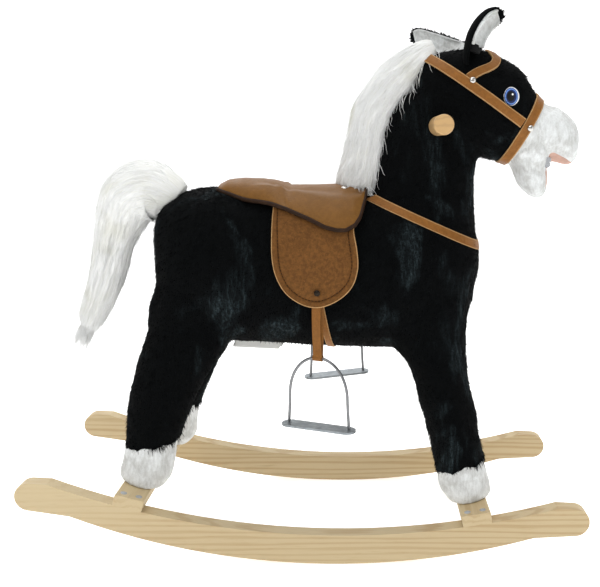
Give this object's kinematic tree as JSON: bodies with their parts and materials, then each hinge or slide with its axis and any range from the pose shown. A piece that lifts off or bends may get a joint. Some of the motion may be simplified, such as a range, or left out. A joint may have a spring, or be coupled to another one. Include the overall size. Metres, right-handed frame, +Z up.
{
  "type": "rocking horse",
  "caption": "Ride-on rocking horse with a plush body on curved wooden rockers, padded saddle, bridle, hand grip, swinging stirrups and a moving mouth and tail.",
  "frame": {"origin": "centre of the bounding box at floor level, with the horse at its natural resting tilt on its rockers", "axes": "+X forward toward the head, +Y toward the left side of the horse, +Z up"},
  "size_m": [0.739, 0.28, 0.7076],
  "materials": {
    "pine": "satin lacquer",
    "inner_wood": "unfinished",
    "zinc_fastener": "zinc plated",
    "black_plush": "short pile plush",
    "white_plush": "short pile plush",
    "white_fur": "long pile fur",
    "pink_lining": "felt",
    "eye_plastic": "polished",
    "saddle_leather": "smooth leatherette",
    "dark_piping": "piping",
    "strap_leather": "leatherette with pale edges",
    "bright_wire": "polished",
    "zinc_tread": "brushed",
    "rivet_metal": "polished nickel",
    "grey_plastic": "moulded",
    "inner_plastic": "moulded",
    "battery_case": "sleeve",
    "speaker_metal": "pressed"
  },
  "bodies": {
    "horse": {"batteries": "battery_case", "body_board": "inner_wood", "body_plush": "black_plush", "breast_strap": "strap_leather", "bridle_rivets": "rivet_metal", "browband": "strap_leather", "crossbar_screws": "zinc_fastener", "ear_left": "black_plush", "ear_linings": "white_plush", "ear_right": "black_plush", "ear_switch": "inner_plastic", "eyes": "eye_plastic", "front_crossbar": "pine", "front_hoof_left": "white_plush", "front_hoof_right": "white_plush", "front_leg_left": "black_plush", "front_leg_right": "black_plush", "girth_strap": "strap_leather", "grip_dowel": "pine", "head_plush": "black_plush", "headstall": "strap_leather", "hind_hoof_left": "white_plush", "hind_hoof_right": "white_plush", "hind_leg_left": "black_plush", "hind_leg_right": "black_plush", "jaw_bracket": "inner_plastic", "jaw_drive": "inner_plastic", "jaw_pin": "zinc_fastener", "leg_bolts": "zinc_fastener", "leg_posts": "inner_wood", "mane": "white_fur", "mouth_roof": "pink_lining", "muzzle": "white_plush", "neck_board": "inner_wood", "neck_plush": "black_plush", "noseband": "strap_leather", "rear_crossbar": "pine", "rocker_left": "pine", "rocker_right": "pine", "saddle_binding": "dark_piping", "saddle_flap_left": "saddle_leather", "saddle_flap_right": "saddle_leather", "saddle_rivets": "rivet_metal", "saddle_seat": "saddle_leather", "sound_box": "grey_plastic", "speaker": "speaker_metal", "tail_drive": "inner_plastic"},
    "jaw": {"lower_jaw": "white_plush", "jaw_lining": "pink_lining", "jaw_core": "inner_plastic"},
    "tail_body": {"tail": "white_fur", "tail_core": "inner_plastic"},
    "cover": {"battery_cover": "grey_plastic"},
    "button": {"ear_button": "inner_plastic"},
    "strap_right": {"stirrup_strap_right": "strap_leather"},
    "iron_right": {"stirrup_bail_right": "bright_wire", "stirrup_tread_right": "zinc_tread"},
    "strap_left": {"stirrup_strap_left": "strap_leather"},
    "iron_left": {"stirrup_bail_left": "bright_wire", "stirrup_tread_left": "zinc_tread"}
  },
  "joints": [
    {"name": "jaw_hinge", "type": "hinge", "parent": "horse", "child": "jaw", "pos_m": [0.32136, 0, 0.51043], "axis": [0, -1, 0], "range_deg": [0, 60]},
    {"name": "tail_wag", "type": "hinge", "parent": "horse", "child": "tail_body", "pos_m": [-0.17705, 0, 0.45549], "axis": [0.0504, 0, 0.9987], "range_deg": [-14, 14]},
    {"name": "battery_cover_hinge", "type": "hinge", "parent": "horse", "child": "cover", "pos_m": [-0.03886, 0, 0.26228], "axis": [0, -1, 0], "range_deg": [0, 88]},
    {"name": "ear_button_press", "type": "slide", "parent": "horse", "child": "button", "axis": [-0.3957, 0, -0.9184], "range_m": [0, 0.002], "stiffness_N_per_m": 300},
    {"name": "stirrup_strap_swing_right", "type": "hinge", "parent": "horse", "child": "strap_right", "pos_m": [0.01896, -0.0965, 0.35147], "axis": [0, 1, 0], "range_deg": [-22, 22]},
    {"name": "stirrup_iron_swing_right", "type": "hinge", "parent": "strap_right", "child": "iron_right", "pos_m": [0.01896, -0.0965, 0.26547], "axis": [0.9337, -0.3579, 0.0033], "range_deg": [-60, 30]},
    {"name": "stirrup_strap_swing_left", "type": "hinge", "parent": "horse", "child": "strap_left", "pos_m": [0.03769, 0.0965, 0.36555], "axis": [0, 1, 0], "range_deg": [-15, 22]},
    {"name": "stirrup_iron_swing_left", "type": "hinge", "parent": "strap_left", "child": "iron_left", "pos_m": [0.03769, 0.0965, 0.27955], "axis": [0.9337, 0.3579, 0.0033], "range_deg": [-30, 60]}
  ]
}
